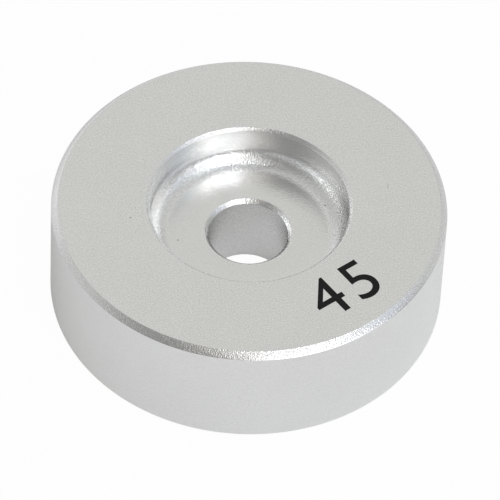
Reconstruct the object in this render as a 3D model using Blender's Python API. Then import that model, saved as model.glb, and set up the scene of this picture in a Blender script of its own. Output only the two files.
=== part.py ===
"""Record spindle adapter: a turned aluminium plug for the large centre hole of a 7-inch record.

It is one piece. A short round body stands on a flat underside, a finger recess with a round-bottomed
wall is turned into its top face, and a bore for the turntable's spindle runs straight through.

Run it with: blender --background --python part.py
Units are metres, +Z is up, and the origin is the centre of the underside.
"""

from math import cos, pi, radians, sin

import bmesh
import bpy
from mathutils import Vector

# The body
OUTER_DIAMETER = 0.0380
HEIGHT = 0.0119
TOP_EDGE_CHAMFER = 0.0006
BOTTOM_EDGE_CHAMFER = 0.0003

# The finger recess in the top face
RECESS_DIAMETER = 0.01915
RECESS_DEPTH = 0.0040
RECESS_RIM_CHAMFER = 0.0003
RECESS_FLOOR_FILLET = 0.0020

# The bore for the spindle, with its lead-in at the recess floor and a broken edge underneath
BORE_DIAMETER = 0.0076
BORE_LEAD_IN = 0.0004
BORE_BOTTOM_CHAMFER = 0.00015

# How finely round shapes are cut into facets
TURN_STEPS = 128
FILLET_STEPS = 8
SMOOTH_UNDER = radians(25)

# Bead-blasted bare aluminium
ALUMINIUM_COLOUR = (0.76, 0.755, 0.745, 1.0)
ALUMINIUM_ROUGHNESS = 0.3


def clear_scene():
    for old in list(bpy.data.objects):
        bpy.data.objects.remove(old, do_unlink=True)


def chamfer(corner, towards_previous, towards_next, size):
    """The two points that cut a right-angled corner off at 45 degrees."""
    return [corner + size * towards_previous, corner + size * towards_next]


def fillet(corner, towards_previous, towards_next, radius, steps):
    """Points along the quarter circle that rounds a right-angled corner."""
    centre = corner + radius * (towards_previous + towards_next)
    points = []
    for step in range(steps + 1):
        angle = 0.5 * pi * step / steps
        points.append(centre - radius * (cos(angle) * towards_next + sin(angle) * towards_previous))
    return points


def turned_profile():
    """The closed outline that is revolved: radius across, height up, starting at the recess rim.

    It goes out over the top face, down the outer side, in along the underside, up the bore and back
    through the recess.
    """
    outer_radius = 0.5 * OUTER_DIAMETER
    recess_radius = 0.5 * RECESS_DIAMETER
    bore_radius = 0.5 * BORE_DIAMETER
    floor_height = HEIGHT - RECESS_DEPTH

    # The fillet is as large as stated, unless the wall or the floor beside it is shorter than that.
    straight_wall = RECESS_DEPTH - RECESS_RIM_CHAMFER
    flat_floor = recess_radius - bore_radius - BORE_LEAD_IN
    floor_fillet = min(RECESS_FLOOR_FILLET, 0.98 * straight_wall, 0.98 * flat_floor)

    out, inward = Vector((1, 0)), Vector((-1, 0))
    up, down = Vector((0, 1)), Vector((0, -1))
    return [
        *chamfer(Vector((recess_radius, HEIGHT)), down, out, RECESS_RIM_CHAMFER),
        *chamfer(Vector((outer_radius, HEIGHT)), inward, down, TOP_EDGE_CHAMFER),
        *chamfer(Vector((outer_radius, 0)), up, inward, BOTTOM_EDGE_CHAMFER),
        *chamfer(Vector((bore_radius, 0)), out, up, BORE_BOTTOM_CHAMFER),
        *chamfer(Vector((bore_radius, floor_height)), down, out, BORE_LEAD_IN),
        *fillet(Vector((recess_radius, floor_height)), inward, up, floor_fillet, FILLET_STEPS),
    ]


def revolve(name, profile):
    """Turns a closed outline once round the Z axis into a mesh object."""
    shape = bmesh.new()
    corners = [shape.verts.new((point.x, 0, point.y)) for point in profile]
    sides = [shape.edges.new(pair) for pair in zip(corners, corners[1:] + corners[:1])]
    bmesh.ops.spin(
        shape,
        geom=corners + sides,
        axis=(0, 0, 1),
        cent=(0, 0, 0),
        angle=2 * pi,
        steps=TURN_STEPS,
        use_merge=True,
    )
    bmesh.ops.recalc_face_normals(shape, faces=shape.faces)
    mesh = bpy.data.meshes.new(name)
    shape.to_mesh(mesh)
    shape.free()
    mesh.shade_smooth()
    mesh.set_sharp_from_angle(angle=SMOOTH_UNDER)
    piece = bpy.data.objects.new(name, mesh)
    bpy.context.scene.collection.objects.link(piece)
    return piece


def aluminium():
    material = bpy.data.materials.new("blasted_aluminium")
    material.use_nodes = True
    shader = material.node_tree.nodes["Principled BSDF"]
    shader.inputs["Base Color"].default_value = ALUMINIUM_COLOUR
    shader.inputs["Metallic"].default_value = 1.0
    shader.inputs["Roughness"].default_value = ALUMINIUM_ROUGHNESS
    return material


def main():
    clear_scene()
    adapter = revolve("adapter_body", turned_profile())
    adapter.data.materials.append(aluminium())


main()
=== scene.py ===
"""Record spindle adapter, dressed for a studio picture.

The adapter is one turned piece of bead-blasted aluminium with plain numerals printed on its top
face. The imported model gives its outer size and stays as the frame. Here the body is turned again
with finer steps and softly broken edges, gets its blasted finish, and stands on a pale floor in
soft light.

Units are metres, +Z is up, and the origin is the centre of the underside. Directions round the
adapter are azimuths: 0 faces the camera, and they grow to the camera's right.
"""

from math import cos, pi, radians, sin

import bmesh
import bpy
from bpy.props import (
    FloatProperty,
    FloatVectorProperty,
    IntProperty,
    PointerProperty,
    StringProperty,
)
from mathutils import Matrix, Quaternion, Vector


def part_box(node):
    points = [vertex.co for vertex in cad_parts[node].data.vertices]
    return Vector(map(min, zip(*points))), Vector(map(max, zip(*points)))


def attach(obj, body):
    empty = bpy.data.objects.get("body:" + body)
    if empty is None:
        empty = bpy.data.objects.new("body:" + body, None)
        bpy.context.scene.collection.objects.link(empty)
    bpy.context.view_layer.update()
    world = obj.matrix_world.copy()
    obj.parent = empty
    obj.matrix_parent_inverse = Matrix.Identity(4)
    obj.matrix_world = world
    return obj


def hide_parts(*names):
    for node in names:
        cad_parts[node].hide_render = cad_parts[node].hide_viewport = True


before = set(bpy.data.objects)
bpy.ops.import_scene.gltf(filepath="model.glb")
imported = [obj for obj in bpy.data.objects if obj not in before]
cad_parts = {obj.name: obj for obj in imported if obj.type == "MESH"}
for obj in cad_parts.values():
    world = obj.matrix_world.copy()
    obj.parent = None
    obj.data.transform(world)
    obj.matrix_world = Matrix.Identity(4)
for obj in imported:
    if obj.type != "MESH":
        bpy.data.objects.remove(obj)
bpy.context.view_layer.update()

bl_info = {
    "name": "Record Spindle Adapter",
    "version": (1, 0, 0),
    "blender": (4, 5, 0),
    "location": "3D View > Sidebar > Adapter",
    "description": "Turns a record spindle adapter, blasts and prints it, and sets its studio",
    "category": "Object",
}

MILLIMETRE = 0.001

# The body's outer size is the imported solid's
BODY_LOW, BODY_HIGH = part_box("adapter_body")
OUTER_DIAMETER = BODY_HIGH.x - BODY_LOW.x
HEIGHT = BODY_HIGH.z - BODY_LOW.z


def direction(azimuth, elevation):
    """The unit vector that points that way, with azimuth 0 towards the camera."""
    return Vector(
        (
            sin(azimuth) * cos(elevation),
            -cos(azimuth) * cos(elevation),
            sin(elevation),
        )
    )


# Values that a user would change


class BodySizes(bpy.types.PropertyGroup):
    """Sizes of the turned body."""

    outer_diameter: FloatProperty(
        name="Outer Diameter",
        description="Across the body, which fills the record's large centre hole",
        default=OUTER_DIAMETER,
        unit="LENGTH",
    )
    height: FloatProperty(
        name="Height",
        description="From the underside to the top face",
        default=HEIGHT,
        unit="LENGTH",
    )
    top_chamfer: FloatProperty(
        name="Top Edge Chamfer",
        description="Bright 45 degree edge round the top face",
        default=0.60 * MILLIMETRE,
        unit="LENGTH",
    )
    bottom_chamfer: FloatProperty(
        name="Bottom Edge Chamfer",
        description="45 degree edge round the underside",
        default=0.30 * MILLIMETRE,
        unit="LENGTH",
    )
    recess_diameter: FloatProperty(
        name="Recess Diameter",
        description="Across the finger recess, inside its wall",
        default=19.15 * MILLIMETRE,
        unit="LENGTH",
    )
    recess_depth: FloatProperty(
        name="Recess Depth",
        description="From the top face to the recess floor",
        default=4.00 * MILLIMETRE,
        unit="LENGTH",
    )
    recess_fillet: FloatProperty(
        name="Recess Fillet",
        description="Radius that joins the recess wall to its floor",
        default=2.00 * MILLIMETRE,
        unit="LENGTH",
    )
    floor_fall: FloatProperty(
        name="Floor Fall",
        description="How far the recess floor falls from the bore to the recess wall",
        default=0.30 * MILLIMETRE,
        unit="LENGTH",
    )
    rim_chamfer: FloatProperty(
        name="Rim Chamfer",
        description="45 degree edge round the mouth of the recess",
        default=0.30 * MILLIMETRE,
        unit="LENGTH",
    )
    bore_diameter: FloatProperty(
        name="Bore Diameter",
        description="Across the bore that drops over the spindle",
        default=7.60 * MILLIMETRE,
        unit="LENGTH",
    )
    bore_lead_in: FloatProperty(
        name="Bore Lead-in",
        description="45 degree edge where the bore meets the recess floor",
        default=0.40 * MILLIMETRE,
        unit="LENGTH",
    )
    bore_chamfer: FloatProperty(
        name="Bore Bottom Chamfer",
        description="45 degree edge where the bore meets the underside",
        default=0.03 * MILLIMETRE,
        unit="LENGTH",
    )
    edge_softness: FloatProperty(
        name="Edge Softness",
        description="How far blasting has rounded each sharp corner",
        default=0.04 * MILLIMETRE,
        unit="LENGTH",
    )
    turn_steps: IntProperty(
        name="Turn Steps",
        description="Facets round the body",
        default=256,
        min=32,
    )


class MetalFinish(bpy.types.PropertyGroup):
    """Look of the bead-blasted aluminium."""

    colour: FloatVectorProperty(
        name="Colour",
        description="Reflected colour of the bare metal",
        subtype="COLOR",
        default=(0.855, 0.855, 0.849),
        min=0.0,
        max=1.0,
    )
    roughness: FloatProperty(
        name="Roughness",
        description="Gloss between the grains",
        default=0.12,
        min=0.0,
        max=1.0,
    )
    grain_size: FloatProperty(
        name="Grain Size",
        description="Distance between the dimples left by the beads",
        default=0.14 * MILLIMETRE,
        unit="LENGTH",
    )
    grain_depth: FloatProperty(
        name="Grain Depth",
        description="Depth of the dimples",
        default=0.040 * MILLIMETRE,
        unit="LENGTH",
    )
    # Painted shade in the grain's hollows and painted light on its crests
    grain_painted_shade: FloatProperty(
        name="Grain Contrast",
        description="How much darker the hollows and lighter the crests are than the bare metal",
        default=0.08,
        min=0.0,
        max=0.5,
    )
    recess_grain: FloatProperty(
        name="Recess Grain",
        description="Share of the grain on the recess floor and wall, where fewer beads strike",
        default=0.50,
        min=0.0,
        max=1.0,
    )
    side_grain: FloatProperty(
        name="Side Grain",
        description="Share of the grain that the round side has",
        default=0.50,
        min=0.0,
        max=1.0,
    )
    recess_softening: FloatProperty(
        name="Recess Softening",
        description="How much less glossy the recess floor and wall are",
        default=0.10,
        min=0.0,
        max=1.0,
    )


class PrintLook(bpy.types.PropertyGroup):
    """The numerals printed on the top face."""

    text: StringProperty(
        name="Numerals",
        description="Speed of the records that need the adapter, in turns a minute",
        default="45",
    )
    height: FloatProperty(
        name="Numeral Height",
        description="From the foot to the head of a numeral",
        default=4.70 * MILLIMETRE,
        unit="LENGTH",
    )
    spacing: FloatProperty(
        name="Spacing",
        description="Space between numerals, with 1 as the font's own",
        default=1.15,
    )
    centre_radius: FloatProperty(
        name="Distance from the Axis",
        description="From the body's axis to the middle of the print",
        default=13.70 * MILLIMETRE,
        unit="LENGTH",
    )
    azimuth: FloatProperty(
        name="Azimuth",
        description="Where the middle of the print lies, from the side that faces the camera",
        default=radians(42.0),
        unit="ROTATION",
    )
    turn: FloatProperty(
        name="Turn",
        description="How far the line of numerals is turned on the top face",
        default=radians(39.2),
        unit="ROTATION",
    )
    ink_thickness: FloatProperty(
        name="Ink Thickness",
        description="How far the ink stands above the metal",
        default=0.012 * MILLIMETRE,
        unit="LENGTH",
    )
    colour: FloatVectorProperty(
        name="Ink Colour",
        description="Colour of the printed ink",
        subtype="COLOR",
        default=(0.007, 0.007, 0.007),
        min=0.0,
        max=1.0,
    )


class StudioLook(bpy.types.PropertyGroup):
    """Camera, light and floor."""

    camera_distance: FloatProperty(
        name="Camera Distance",
        description="From the camera to the point that it looks at",
        default=533.41 * MILLIMETRE,
        unit="LENGTH",
    )
    camera_lens: FloatProperty(
        name="Lens",
        description="Focal length in millimetres on a 36 mm sensor",
        default=397.279,
    )
    sky_colour: FloatVectorProperty(
        name="Sky Colour",
        description="Even light of the white room round the adapter",
        subtype="COLOR",
        default=(0.305, 0.305, 0.297),
        min=0.0,
    )
    lamp_radiance: FloatProperty(
        name="Softbox Radiance",
        description="Brightness of the softbox's face, where 1 would look white",
        default=4.37,
        min=0.0,
    )
    floor_colour: FloatVectorProperty(
        name="Floor Colour",
        description="Colour of the pale floor",
        subtype="COLOR",
        default=(0.85, 0.85, 0.85),
        min=0.0,
        max=1.0,
    )
    floor_whiteness: FloatProperty(
        name="Floor Whiteness",
        description="How far the camera sees the floor as plain white, under the shadow",
        default=0.970,
        min=0.0,
        max=1.0,
    )
    floor_mirrored: FloatProperty(
        name="Floor in the Metal",
        description="How far reflections see the floor behind the adapter as plain white",
        default=0.130,
        min=0.0,
        max=1.0,
    )
    # Painted light: reflections see the floor whiter towards the softbox, as a painted pool of
    # light
    painted_floor_light: FloatProperty(
        name="Floor Brightening",
        description="How much whiter reflections see the floor towards the softbox",
        default=0.210,
        min=0.0,
        max=1.0,
    )
    # Painted light: reflections see the floor round the axis whiter, as a pool of light through the
    # bore
    painted_bore_light: FloatProperty(
        name="Floor under the Bore",
        description="How much whiter reflections see the floor that is lit through the bore",
        default=0.130,
        min=0.0,
        max=1.0,
    )


class AdapterSettings(bpy.types.PropertyGroup):
    """Everything that the panel shows."""

    body: PointerProperty(type=BodySizes)
    metal: PointerProperty(type=MetalFinish)
    numerals: PointerProperty(type=PrintLook)
    studio: PointerProperty(type=StudioLook)


# Materials

# Nearly all of the noise lies between these values
NOISE_RANGE = (0.3, 0.7)

# Wide, faint clouds in the metal: their size, and how far they change its colour and its gloss
CLOUD_SIZE = 5.0 * MILLIMETRE
CLOUD_SHADE = (0.992, 1.008)
CLOUD_GLOSS = 0.01

# Offsets outwards from the two ends of the recess floor, from its wall and from the outer side,
# between which the gentler grain comes in or goes out
FLOOR_INNER_FADE = (0.050 * MILLIMETRE, 0.400 * MILLIMETRE)
FLOOR_OUTER_FADE = (-0.175 * MILLIMETRE, 0.325 * MILLIMETRE)
WALL_INNER_FADE = (-0.205 * MILLIMETRE, -0.105 * MILLIMETRE)
WALL_OUTER_FADE = (0.015 * MILLIMETRE, 0.095 * MILLIMETRE)
SIDE_FADE = (-0.10 * MILLIMETRE, -0.01 * MILLIMETRE)

# The ink: the size and depth of its grain, and how far that changes its colour and its gloss
INK_GRAIN_SIZE = 0.14 * MILLIMETRE
INK_GRAIN_DEPTH = 0.006 * MILLIMETRE
INK_GRAIN_STRENGTH = 0.3
INK_SHADE = (0.85, 1.15)
INK_ROUGHNESS = (0.50, 0.60)
INK_SHINE = 0.2


def new_material(name):
    """A material with a Principled shader, as (material, its node tree, the shader)."""
    material = bpy.data.materials.new(name)
    material.use_nodes = True
    return material, material.node_tree, material.node_tree.nodes["Principled BSDF"]


def object_position(tree):
    """The socket that gives a surface point's place on the piece, in metres."""
    return tree.nodes.new("ShaderNodeTexCoord").outputs["Object"]


def noise(tree, place, feature_size, detail):
    """Soft noise from 0 to 1 whose patches are about feature_size across."""
    node = tree.nodes.new("ShaderNodeTexNoise")
    node.inputs["Scale"].default_value = 1 / feature_size
    node.inputs["Detail"].default_value = detail
    tree.links.new(place, node.inputs["Vector"])
    return node.outputs["Fac"]


def map_range(tree, value, low, high, to_low, to_high, smooth=False):
    """Spreads value from one range over another, and holds it at the ends."""
    node = tree.nodes.new("ShaderNodeMapRange")
    node.interpolation_type = "SMOOTHSTEP" if smooth else "LINEAR"
    node.inputs["From Min"].default_value = low
    node.inputs["From Max"].default_value = high
    node.inputs["To Min"].default_value = to_low
    node.inputs["To Max"].default_value = to_high
    tree.links.new(value, node.inputs["Value"])
    return node.outputs["Result"]


def calculate(tree, operation, first, second):
    """One step of arithmetic. Each of first and second is a socket or a number."""
    node = tree.nodes.new("ShaderNodeMath")
    node.operation = operation
    for socket, value in zip(node.inputs, (first, second)):
        if isinstance(value, bpy.types.NodeSocket):
            tree.links.new(value, socket)
        else:
            socket.default_value = value
    return node.outputs["Value"]


def tinted(tree, colour, factor):
    """The colour, made darker or lighter by a factor that varies over the surface."""
    node = tree.nodes.new("ShaderNodeVectorMath")
    node.operation = "SCALE"
    node.inputs[0].default_value = colour
    tree.links.new(factor, node.inputs["Scale"])
    return node.outputs["Vector"]


# Small dark marks: azimuth in degrees, distance from the axis and height of the middle, half length
# and half width in mm, the turn of the long side in degrees and how much light the mark takes
MARKS = {
    "speck_on_top_face": (-77.4, 11.56, 11.90, 0.090, 0.075, 0.0, 0.80),
    "speck_on_recess_floor": (-77.7, 6.86, 7.75, 0.110, 0.080, 10.0, 0.60),
    "speck_on_recess_fillet": (117.7, 8.24, 7.79, 0.110, 0.100, 0.0, 0.60),
    "faint_line_on_top_face": (103.0, 13.55, 11.90, 0.360, 0.055, 86.0, 0.32),
    "speck_on_side": (23.0, 19.00, 5.60, 0.090, 0.070, 0.0, 0.15),
}

# Where a mark begins to fade and where it ends, with its half length as 1
MARK_FADE = (0.35, 1.25)


def mark(tree, place, azimuth, radius, height, half_length, half_width, turn, darkness):
    """A soft spot that is `darkness` at its middle and 0 outside."""
    along = direction(radians(azimuth), 0.0)
    middle = Vector((radius * along.x, radius * along.y, height)) * MILLIMETRE
    mapping = tree.nodes.new("ShaderNodeMapping")
    mapping.vector_type = "TEXTURE"
    mapping.inputs["Location"].default_value = middle
    mapping.inputs["Rotation"].default_value = (0.0, 0.0, radians(turn))
    mapping.inputs["Scale"].default_value = (
        half_length * MILLIMETRE,
        half_width * MILLIMETRE,
        half_width * MILLIMETRE,
    )
    tree.links.new(place, mapping.inputs["Vector"])
    length = tree.nodes.new("ShaderNodeVectorMath")
    length.operation = "LENGTH"
    tree.links.new(mapping.outputs["Vector"], length.inputs[0])
    return map_range(tree, length.outputs["Value"], *MARK_FADE, darkness, 0.0, smooth=True)


def distance_from_axis(tree, place):
    """The socket that gives a point's distance from the axis of the bore."""
    flat = tree.nodes.new("ShaderNodeVectorMath")
    flat.operation = "MULTIPLY"
    flat.inputs[1].default_value = (1.0, 1.0, 0.0)
    tree.links.new(place, flat.inputs[0])
    length = tree.nodes.new("ShaderNodeVectorMath")
    length.operation = "LENGTH"
    tree.links.new(flat.outputs["Vector"], length.inputs[0])
    return length.outputs["Value"]


def beyond(tree, radius, edge, fade):
    """0 inside a distance from the axis and 1 outside it, over the fade's two offsets from it."""
    begins, full = fade
    return map_range(tree, radius, edge + begins, edge + full, 0.0, 1.0, smooth=True)


def between(tree, inside, outside):
    """1 where a point is beyond the first edge and not yet beyond the second."""
    return calculate(tree, "MULTIPLY", inside, calculate(tree, "SUBTRACT", 1.0, outside))


def gentler_places(tree, place, sizes):
    """Where the beads strike less, as masks of the recess floor and wall and of the outer side."""
    radius = distance_from_axis(tree, place)
    wall = 0.5 * sizes.recess_diameter
    floor_start = 0.5 * sizes.bore_diameter + sizes.bore_lead_in
    floor_end = wall - sizes.recess_fillet
    on_floor = between(
        tree,
        beyond(tree, radius, floor_start, FLOOR_INNER_FADE),
        beyond(tree, radius, floor_end, FLOOR_OUTER_FADE),
    )
    on_wall = between(
        tree,
        beyond(tree, radius, wall, WALL_INNER_FADE),
        beyond(tree, radius, wall, WALL_OUTER_FADE),
    )
    on_side = beyond(tree, radius, 0.5 * sizes.outer_diameter, SIDE_FADE)
    return calculate(tree, "MAXIMUM", on_floor, on_wall), on_side


def blasted_aluminium(finish, sizes):
    """Bare aluminium, blasted with fine beads: pale and satin, with an even sparkling grain."""
    material, tree, shader = new_material("blasted_aluminium")
    place = object_position(tree)
    in_recess, on_side = gentler_places(tree, place, sizes)
    strength = calculate(
        tree,
        "MULTIPLY",
        map_range(tree, in_recess, 0.0, 1.0, 1.0, finish.recess_grain),
        map_range(tree, on_side, 0.0, 1.0, 1.0, finish.side_grain),
    )

    grain = noise(tree, place, finish.grain_size, detail=1.0)
    cloud = noise(tree, place, CLOUD_SIZE, detail=2.0)
    # Painted shade and light: the grain's hollows darker and its crests lighter, from the same
    # noise as the bump
    contrast = map_range(tree, grain, *NOISE_RANGE, -finish.grain_painted_shade, finish.grain_painted_shade)
    shade = calculate(
        tree,
        "MULTIPLY",
        calculate(tree, "ADD", 1.0, calculate(tree, "MULTIPLY", contrast, strength)),
        map_range(tree, cloud, *NOISE_RANGE, *CLOUD_SHADE),
    )
    for values in MARKS.values():
        light_left = calculate(tree, "SUBTRACT", 1.0, mark(tree, place, *values))
        shade = calculate(tree, "MULTIPLY", shade, light_left)
    tree.links.new(tinted(tree, finish.colour, shade), shader.inputs["Base Color"])

    gloss = map_range(
        tree,
        cloud,
        *NOISE_RANGE,
        finish.roughness - CLOUD_GLOSS,
        finish.roughness + CLOUD_GLOSS,
    )
    softer = calculate(tree, "MULTIPLY", in_recess, finish.recess_softening)
    tree.links.new(calculate(tree, "ADD", gloss, softer), shader.inputs["Roughness"])
    shader.inputs["Metallic"].default_value = 1.0

    bump = tree.nodes.new("ShaderNodeBump")
    bump.inputs["Strength"].default_value = 1.0
    depth = calculate(tree, "MULTIPLY", strength, finish.grain_depth)
    tree.links.new(depth, bump.inputs["Distance"])
    tree.links.new(grain, bump.inputs["Height"])
    tree.links.new(bump.outputs["Normal"], shader.inputs["Normal"])
    return material


def printing_ink(look):
    """Black ink, almost matt, a little uneven where it follows the blasted grain below it."""
    material, tree, shader = new_material("printing_ink")
    place = object_position(tree)
    grain = noise(tree, place, INK_GRAIN_SIZE, detail=1.0)
    shade = map_range(tree, grain, *NOISE_RANGE, *INK_SHADE)
    tree.links.new(tinted(tree, look.colour, shade), shader.inputs["Base Color"])
    gloss = map_range(tree, grain, *NOISE_RANGE, *INK_ROUGHNESS)
    tree.links.new(gloss, shader.inputs["Roughness"])
    shader.inputs["Specular IOR Level"].default_value = INK_SHINE
    bump = tree.nodes.new("ShaderNodeBump")
    bump.inputs["Strength"].default_value = INK_GRAIN_STRENGTH
    bump.inputs["Distance"].default_value = INK_GRAIN_DEPTH
    tree.links.new(grain, bump.inputs["Height"])
    tree.links.new(bump.outputs["Normal"], shader.inputs["Normal"])
    return material


# The turned body

# How finely the softened edges and the fillet are cut, and how firmly broad faces keep their own
# normals
SOFT_EDGE_STEPS = 3
FILLET_STEPS = 24
BROAD_FACE_WEIGHT = 100


def cut_corners(shape, corners, size, segments):
    """Cuts corners of a flat outline back by size along both sides, straight or in an arc."""
    bmesh.ops.bevel(
        shape,
        geom=corners,
        offset=size,
        offset_type="OFFSET",
        segments=segments,
        profile=0.5,
        affect="VERTICES",
        material=-1,
        clamp_overlap=False,
    )


def draw_half_section(shape, sizes):
    """The closed outline of half the body, in the XZ plane, with its chamfers and its fillet."""
    outer = 0.5 * sizes.outer_diameter
    recess = 0.5 * sizes.recess_diameter
    bore = 0.5 * sizes.bore_diameter
    floor = sizes.height - sizes.recess_depth
    rim, top, bottom, bore_bottom, lead_in, recess_corner = (
        shape.verts.new((radius, 0.0, height))
        for radius, height in (
            (recess, sizes.height),
            (outer, sizes.height),
            (outer, 0.0),
            (bore, 0.0),
            (bore, floor),
            (recess, floor - sizes.floor_fall),
        )
    )
    loop = (rim, top, bottom, bore_bottom, lead_in, recess_corner)
    for start, end in zip(loop, loop[1:] + loop[:1]):
        shape.edges.new((start, end))

    for corner, size in (
        (rim, sizes.rim_chamfer),
        (top, sizes.top_chamfer),
        (bottom, sizes.bottom_chamfer),
        (bore_bottom, sizes.bore_chamfer),
        (lead_in, sizes.bore_lead_in),
    ):
        cut_corners(shape, [corner], size, segments=1)
    sharp = [corner for corner in shape.verts if corner != recess_corner]
    cut_corners(shape, sharp, sizes.edge_softness, SOFT_EDGE_STEPS)
    cut_corners(shape, [recess_corner], sizes.recess_fillet, FILLET_STEPS)


def turn_body(sizes):
    """The body as one closed mesh, turned once round the axis of the bore."""
    shape = bmesh.new()
    draw_half_section(shape, sizes)
    bmesh.ops.spin(
        shape,
        geom=shape.verts[:] + shape.edges[:],
        axis=(0.0, 0.0, 1.0),
        cent=(0.0, 0.0, 0.0),
        angle=2 * pi,
        steps=sizes.turn_steps,
        use_merge=True,
    )
    bmesh.ops.recalc_face_normals(shape, faces=shape.faces)
    mesh = bpy.data.meshes.new("turned_body")
    shape.to_mesh(mesh)
    shape.free()
    mesh.shade_smooth()
    return mesh


def add_piece(name, mesh, material):
    """A piece at the origin, with its place in its mesh, that rides on the one body."""
    mesh.materials.append(material)
    piece = bpy.data.objects.new(name, mesh)
    bpy.context.scene.collection.objects.link(piece)
    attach(piece, "root")
    return piece


class ADAPTER_OT_body(bpy.types.Operator):
    """Turn the body and give it its blasted finish"""

    bl_idname = "adapter.body"
    bl_label = "Turned Body"

    def execute(self, context):
        settings = context.scene.spindle_adapter
        material = blasted_aluminium(settings.metal, settings.body)
        piece = add_piece("turned_body", turn_body(settings.body), material)
        # Broad faces keep their own normals, and the soft edges between them take up the turn.
        flat_faces = piece.modifiers.new("flat_faces", "WEIGHTED_NORMAL")
        flat_faces.mode = "FACE_AREA"
        flat_faces.weight = BROAD_FACE_WEIGHT
        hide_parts("adapter_body")
        return {"FINISHED"}


# The printed numerals

# How finely the numerals' curves are cut, and how close two corners are that become one, in the
# font's own units
NUMERAL_CURVE_STEPS = 8
SAME_CORNER = 1e-5


def numeral_mesh(look):
    """The numerals as a thin mesh, flat on the XY plane and centred on the origin."""
    curve = bpy.data.curves.new("numerals", "FONT")
    curve.body = look.text
    curve.size = 1.0
    curve.space_character = look.spacing
    curve.resolution_u = NUMERAL_CURVE_STEPS
    writing = bpy.data.objects.new("numerals", curve)
    bpy.context.scene.collection.objects.link(writing)
    bpy.context.view_layer.update()
    evaluated = writing.evaluated_get(bpy.context.evaluated_depsgraph_get())
    mesh = bpy.data.meshes.new_from_object(evaluated)
    bpy.data.objects.remove(writing, do_unlink=True)
    bpy.data.curves.remove(curve)
    return mesh


def place_print(mesh, look, top):
    """Scales the flat numerals to their height, thickens them and lays them on the top face."""
    shape = bmesh.new()
    shape.from_mesh(mesh)
    bmesh.ops.remove_doubles(shape, verts=shape.verts, dist=SAME_CORNER)
    low = Vector(min(vertex.co[axis] for vertex in shape.verts) for axis in range(3))
    high = Vector(max(vertex.co[axis] for vertex in shape.verts) for axis in range(3))
    scale = look.height / (high.y - low.y)
    bmesh.ops.translate(shape, verts=shape.verts, vec=-0.5 * (low + high))
    bmesh.ops.scale(shape, verts=shape.verts, vec=(scale, scale, scale))

    # The ink is a closed skin that starts just inside the metal.
    sunk = look.ink_thickness
    raised = bmesh.ops.extrude_face_region(shape, geom=shape.faces[:])
    upper = [part for part in raised["geom"] if isinstance(part, bmesh.types.BMVert)]
    bmesh.ops.translate(shape, verts=upper, vec=(0.0, 0.0, look.ink_thickness + sunk))
    bmesh.ops.recalc_face_normals(shape, faces=shape.faces)

    middle = direction(look.azimuth, 0.0) * look.centre_radius + Vector((0.0, 0.0, top - sunk))
    place = Matrix.Translation(middle) @ Matrix.Rotation(look.turn, 4, "Z")
    bmesh.ops.transform(shape, matrix=place, verts=shape.verts)
    shape.to_mesh(mesh)
    shape.free()
    mesh.shade_flat()


class ADAPTER_OT_numerals(bpy.types.Operator):
    """Print the numerals on the top face"""

    bl_idname = "adapter.numerals"
    bl_label = "Printed Numerals"

    def execute(self, context):
        settings = context.scene.spindle_adapter
        mesh = numeral_mesh(settings.numerals)
        place_print(mesh, settings.numerals, top=settings.body.height)
        mesh.materials.clear()
        piece = add_piece("printed_numerals", mesh, printing_ink(settings.numerals))
        return {"FINISHED"}


# The studio

# The camera, fitted to the outline, the edges and the bore: its place gives the direction that it
# looks from, and the settings give its distance
AIM_POINT = Vector((0.00025967, 0.0, 0.00510083))
CAMERA_PLACE = Vector((0.0, -0.348268, 0.409124))
CAMERA_ROLL = radians(2.8238)
SENSOR_WIDTH = 36.0
NEAREST_SEEN = 10.0 * MILLIMETRE

# Soft glows of the room's scrims and walls: azimuth and elevation of the middle in degrees, the
# angle from it where the glow ends, and its colour, with 1 as white. They add up.
ROOM_GLOWS = {
    "scrim_above_right": (80.0, 66.0, 20.0, (0.40, 0.43, 0.51)),
    "scrim_front": (0.0, 48.0, 20.0, (0.58, 0.56, 0.54)),
    "scrim_right": (60.0, 48.0, 20.0, (0.48, 0.53, 0.50)),
    "scrim_low_front": (20.0, 30.0, 20.0, (0.88, 0.87, 0.91)),
    "scrim_low_right": (80.0, 30.0, 20.0, (0.36, 0.40, 0.50)),
    "panel_front": (20.0, 12.0, 20.0, (1.51, 1.55, 1.52)),
    "panel_front_right": (40.0, 12.0, 20.0, (2.19, 2.27, 2.38)),
    "panel_right": (60.0, 12.0, 20.0, (0.90, 0.89, 0.94)),
    "wall_left": (-90.0, 0.0, 45.0, (0.30, 0.30, 0.31)),
    "wall_back_left": (-150.0, 0.0, 45.0, (0.76, 0.75, 0.79)),
    "wall_back_right": (120.0, 25.0, 38.0, (0.35, 0.36, 0.36)),
    "ceiling_back": (-180.0, 50.0, 36.0, (0.35, 0.35, 0.34)),
    "ceiling_left": (-108.0, 50.0, 36.0, (0.23, 0.23, 0.23)),
    "ceiling_middle": (120.0, 78.0, 36.0, (0.19, 0.19, 0.19)),
}

# Round softboxes: azimuth and elevation in degrees, and the colour of the light
SOFTBOXES = {
    "softbox": (30.0, 60.0, (0.96, 1.00, 1.04)),
    "small_softbox": (50.0, 45.0, (0.53, 0.50, 0.51)),
}
SOFTBOX_DISTANCE = 0.90
SOFTBOX_DIAMETER = 0.227

# The floor, which lies a hair below the underside
FLOOR_SIZE = 12.0
FLOOR_GAP = 0.02 * MILLIMETRE
FLOOR_ROUGHNESS = 0.9
FLOOR_CLOUD_SIZE = 60.0 * MILLIMETRE
FLOOR_CLOUD_SHADE = (0.995, 1.005)

# Painted light in the floor that reflections see: it is whiter along one azimuth, from behind the
# axis to in front of it, as if lit by the softbox, and round the axis, where light comes through
# the bore
PAINTED_FLOOR_LIGHT_AZIMUTH = radians(32.0)
PAINTED_FLOOR_LIGHT_RANGE = (-14.0 * MILLIMETRE, 25.0 * MILLIMETRE)
PAINTED_BORE_LIGHT_FADE = (3.0 * MILLIMETRE, 4.5 * MILLIMETRE)


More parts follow.
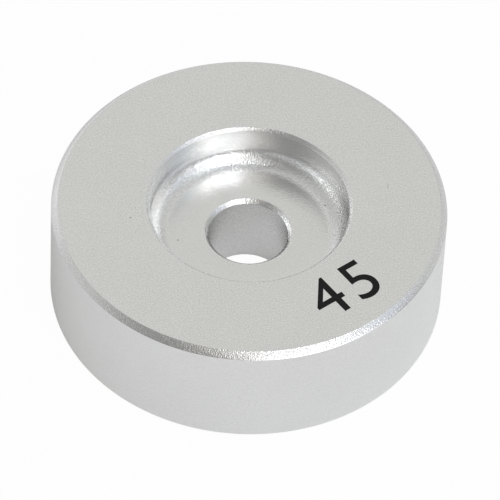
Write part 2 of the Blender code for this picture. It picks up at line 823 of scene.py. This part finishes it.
def look_at(thing, place, target, roll=0.0):
    """Puts a camera or a lamp at a place, facing the target, and rolls it about that line."""
    thing.location = place
    thing.rotation_mode = "QUATERNION"
    towards = (target - place).to_track_quat("-Z", "Y")
    thing.rotation_quaternion = towards @ Quaternion((0.0, 0.0, 1.0), roll)


def add_camera(look):
    """The camera that sees the adapter as the photograph does."""
    lens = bpy.data.cameras.new("camera")
    lens.lens = look.camera_lens
    lens.sensor_width = SENSOR_WIDTH
    lens.clip_start = NEAREST_SEEN
    camera = bpy.data.objects.new("camera", lens)
    bpy.context.scene.collection.objects.link(camera)
    back = (CAMERA_PLACE - AIM_POINT).normalized()
    look_at(camera, AIM_POINT + back * look.camera_distance, AIM_POINT, CAMERA_ROLL)
    bpy.context.scene.camera = camera


def add_softbox(name, azimuth, elevation, colour, radiance, target):
    """A round area lamp whose face is as bright as radiance says, with 1 as white."""
    lamp = bpy.data.lights.new(name, "AREA")
    lamp.shape = "DISK"
    lamp.size = SOFTBOX_DIAMETER
    face_area = pi * (0.5 * SOFTBOX_DIAMETER) ** 2
    lamp.energy = pi * face_area * radiance
    lamp.color = colour
    softbox = bpy.data.objects.new(name, lamp)
    bpy.context.scene.collection.objects.link(softbox)
    place = target + direction(radians(azimuth), radians(elevation)) * SOFTBOX_DISTANCE
    look_at(softbox, place, target)


def room_glow(tree, towards, light, azimuth, elevation, end, colour):
    """Adds one soft round glow to the light so far."""
    aim = tree.nodes.new("ShaderNodeVectorMath")
    aim.operation = "DOT_PRODUCT"
    aim.inputs[1].default_value = direction(radians(azimuth), radians(elevation))
    tree.links.new(towards, aim.inputs[0])
    share = map_range(
        tree, aim.outputs["Value"], cos(radians(end)), 1.0, 0.0, 1.0, smooth=True
    )
    add = tree.nodes.new("ShaderNodeVectorMath")
    add.operation = "ADD"
    tree.links.new(light, add.inputs[0])
    tree.links.new(tinted(tree, colour, share), add.inputs[1])
    return add.outputs["Vector"]


def add_room(look):
    """The white room as the world: an even light with a few wide, soft differences."""
    world = bpy.data.worlds.new("white_room")
    world.use_nodes = True
    tree = world.node_tree
    towards = tree.nodes.new("ShaderNodeTexCoord").outputs["Generated"]
    base = tree.nodes.new("ShaderNodeCombineXYZ")
    for socket, value in zip(base.inputs, look.sky_colour):
        socket.default_value = value
    light = base.outputs["Vector"]
    for glow in ROOM_GLOWS.values():
        light = room_glow(tree, towards, light, *glow)
    background = tree.nodes["Background"]
    tree.links.new(light, background.inputs["Color"])
    background.inputs["Strength"].default_value = 1.0
    bpy.context.scene.world = world


def floor_paint(look):
    """A pale matt floor: nearly white to the camera, partly white to reflections, with painted
    light.
    """
    material, tree, shader = new_material("floor_paint")
    shader.inputs["Roughness"].default_value = FLOOR_ROUGHNESS
    shader.inputs["Specular IOR Level"].default_value = 0.0
    place = object_position(tree)
    cloud = noise(tree, place, FLOOR_CLOUD_SIZE, detail=2.0)
    shade = map_range(tree, cloud, *NOISE_RANGE, *FLOOR_CLOUD_SHADE)
    tree.links.new(tinted(tree, look.floor_colour, shade), shader.inputs["Base Color"])

    ray = tree.nodes.new("ShaderNodeLightPath")
    seen = calculate(tree, "MULTIPLY", ray.outputs["Is Camera Ray"], look.floor_whiteness)
    # Painted light: a soft pool of white towards the softbox in what reflections see
    nearer = tree.nodes.new("ShaderNodeVectorMath")
    nearer.operation = "DOT_PRODUCT"
    nearer.inputs[1].default_value = direction(PAINTED_FLOOR_LIGHT_AZIMUTH, 0.0)
    tree.links.new(place, nearer.inputs[0])
    white_share = map_range(
        tree,
        nearer.outputs["Value"],
        *PAINTED_FLOOR_LIGHT_RANGE,
        look.floor_mirrored,
        look.floor_mirrored + look.painted_floor_light,
        smooth=True,
    )
    # Painted light round the axis, under the bore
    under_bore = map_range(
        tree,
        distance_from_axis(tree, place),
        *PAINTED_BORE_LIGHT_FADE,
        look.painted_bore_light,
        0.0,
        smooth=True,
    )
    white_share = calculate(tree, "ADD", white_share, under_bore)
    mirrored = calculate(tree, "MULTIPLY", ray.outputs["Is Glossy Ray"], white_share)
    through = calculate(
        tree, "MULTIPLY", ray.outputs["Is Transmission Ray"], look.floor_whiteness
    )
    share = calculate(tree, "ADD", calculate(tree, "ADD", seen, mirrored), through)
    white = tree.nodes.new("ShaderNodeEmission")
    mix = tree.nodes.new("ShaderNodeMixShader")
    tree.links.new(share, mix.inputs[0])
    tree.links.new(shader.outputs["BSDF"], mix.inputs[1])
    tree.links.new(white.outputs["Emission"], mix.inputs[2])
    tree.links.new(mix.outputs["Shader"], tree.nodes["Material Output"].inputs["Surface"])
    return material


def add_floor(look):
    """One wide square."""
    shape = bmesh.new()
    bmesh.ops.create_grid(shape, x_segments=1, y_segments=1, size=0.5 * FLOOR_SIZE)
    bmesh.ops.translate(shape, verts=shape.verts, vec=(0.0, 0.0, -FLOOR_GAP))
    mesh = bpy.data.meshes.new("floor")
    shape.to_mesh(mesh)
    shape.free()
    mesh.materials.append(floor_paint(look))
    floor = bpy.data.objects.new("floor", mesh)
    bpy.context.scene.collection.objects.link(floor)


class ADAPTER_OT_studio(bpy.types.Operator):
    """Set the camera, the soft light and the pale floor"""

    bl_idname = "adapter.studio"
    bl_label = "Studio"

    def execute(self, context):
        settings = context.scene.spindle_adapter
        add_camera(settings.studio)
        top = Vector((0.0, 0.0, settings.body.height))
        for name, values in SOFTBOXES.items():
            add_softbox(name, *values, settings.studio.lamp_radiance, target=top)
        add_room(settings.studio)
        add_floor(settings.studio)
        context.scene.view_settings.view_transform = "Standard"
        return {"FINISHED"}


# The add-on


class ADAPTER_PT_panel(bpy.types.Panel):
    """Lists the adapter's settings and the steps that make it"""

    bl_label = "Spindle Adapter"
    bl_idname = "ADAPTER_PT_panel"
    bl_space_type = "VIEW_3D"
    bl_region_type = "UI"
    bl_category = "Adapter"

    def draw(self, context):
        settings = context.scene.spindle_adapter
        for operator, groups in (
            (ADAPTER_OT_body, (settings.body, settings.metal)),
            (ADAPTER_OT_numerals, (settings.numerals,)),
            (ADAPTER_OT_studio, (settings.studio,)),
        ):
            box = self.layout.box()
            for group in groups:
                for name in group.__annotations__:
                    box.prop(group, name)
            box.operator(operator.bl_idname)


CLASSES = (
    BodySizes,
    MetalFinish,
    PrintLook,
    StudioLook,
    AdapterSettings,
    ADAPTER_OT_body,
    ADAPTER_OT_numerals,
    ADAPTER_OT_studio,
    ADAPTER_PT_panel,
)


def register():
    for each in CLASSES:
        bpy.utils.register_class(each)
    bpy.types.Scene.spindle_adapter = PointerProperty(type=AdapterSettings)


def unregister():
    del bpy.types.Scene.spindle_adapter
    for each in reversed(CLASSES):
        bpy.utils.unregister_class(each)


def main():
    register()
    bpy.ops.adapter.body()
    bpy.ops.adapter.numerals()
    bpy.ops.adapter.studio()


if __name__ == "__main__":
    main()
